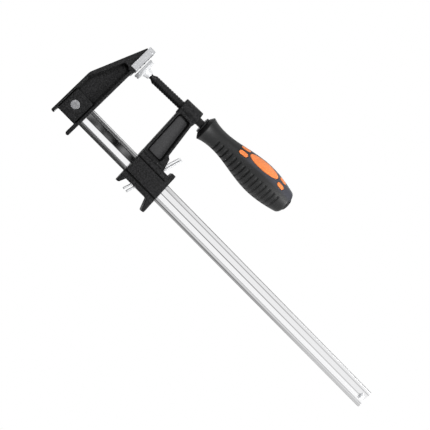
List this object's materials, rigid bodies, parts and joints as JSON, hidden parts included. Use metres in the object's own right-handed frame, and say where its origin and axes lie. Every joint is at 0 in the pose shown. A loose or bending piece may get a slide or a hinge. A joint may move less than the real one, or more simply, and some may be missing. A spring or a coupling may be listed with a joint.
{
  "type": "bar clamp",
  "caption": "Bar clamp with a fixed jaw, a jaw that slides and locks by tilted plates, and a screw with a swivel pad and handle.",
  "frame": {"origin": "below the middle of the clamp's length, in the bar's middle plane, at the height of the lowest foot", "axes": "+X along the bar from the fixed jaw to the free end, +Z from the bar towards the screw, +Y across the jaws"},
  "size_m": [0.4404, 0.0362, 0.1257],
  "materials": {
    "bar_plated": "bright nickel plate on drawn steel",
    "steel_plated": "zinc plate",
    "casting_black": "black powder coat on cast iron",
    "pad_grey": "moulded soft plastic",
    "swivel_plated": "zinc plate",
    "screw_black": "black oxide, oiled",
    "spring_steel": "bright spring wire",
    "core_black": "moulded hard plastic",
    "grip_dark": "soft moulded rubber",
    "inlay_orange": "moulded soft plastic"
  },
  "bodies": {
    "bar_assembly": {"bar": "bar_plated", "bar_stop_pin": "steel_plated", "fixed_jaw": "casting_black", "fixed_jaw_pin": "steel_plated", "fixed_jaw_pad": "pad_grey"},
    "sliding_jaw": {"sliding_jaw": "casting_black", "clutch_spring": "spring_steel"},
    "clutch": {"clutch_plate_front": "steel_plated", "clutch_plate_rear": "steel_plated"},
    "screw_carrier": {"swivel_retaining_ring": "screw_black"},
    "screw": {"screw_spindle": "screw_black", "handle_collar": "screw_black", "handle_core": "core_black", "handle_grip": "grip_dark", "handle_inlays_large": "inlay_orange", "handle_inlays_front": "inlay_orange", "handle_inlays_rear": "inlay_orange", "handle_end_plug": "core_black"},
    "swivel_pad": {"swivel_socket": "swivel_plated", "swivel_pad_cap": "pad_grey"}
  },
  "joints": [
    {"name": "jaw_slide", "type": "slide", "parent": "bar_assembly", "child": "sliding_jaw", "axis": [1, 0, 0], "range_m": [0, 0.302]},
    {"name": "clutch_release", "type": "hinge", "parent": "sliding_jaw", "child": "clutch", "pos_m": [-0.1057, 0, 0.0465], "axis": [0, -1, 0], "range_deg": [0, 9], "stiffness_Nm_per_rad": 0.3, "springref_deg": -5.73, "deforming": ["clutch_spring"]},
    {"name": "screw_travel", "type": "slide", "parent": "sliding_jaw", "child": "screw_carrier", "axis": [0.9986, 0, 0.0523], "range_m": [0, 0.0381]},
    {"name": "screw_turn", "type": "hinge", "parent": "screw_carrier", "child": "screw", "pos_m": [-0.18025, 0, 0.09955], "axis": [0.9986, 0, 0.0523], "range_deg": [0, 4560]},
    {"name": "swivel_tilt", "type": "hinge", "parent": "screw_carrier", "child": "swivel_pad", "pos_m": [-0.18025, 0, 0.09955], "axis": [0, 1, 0], "range_deg": [-6, 6]}
  ],
  "couplings": [
    {"joint": "screw_travel", "follows": "screw_turn", "m_per_rad": 0.00047746}
  ]
}
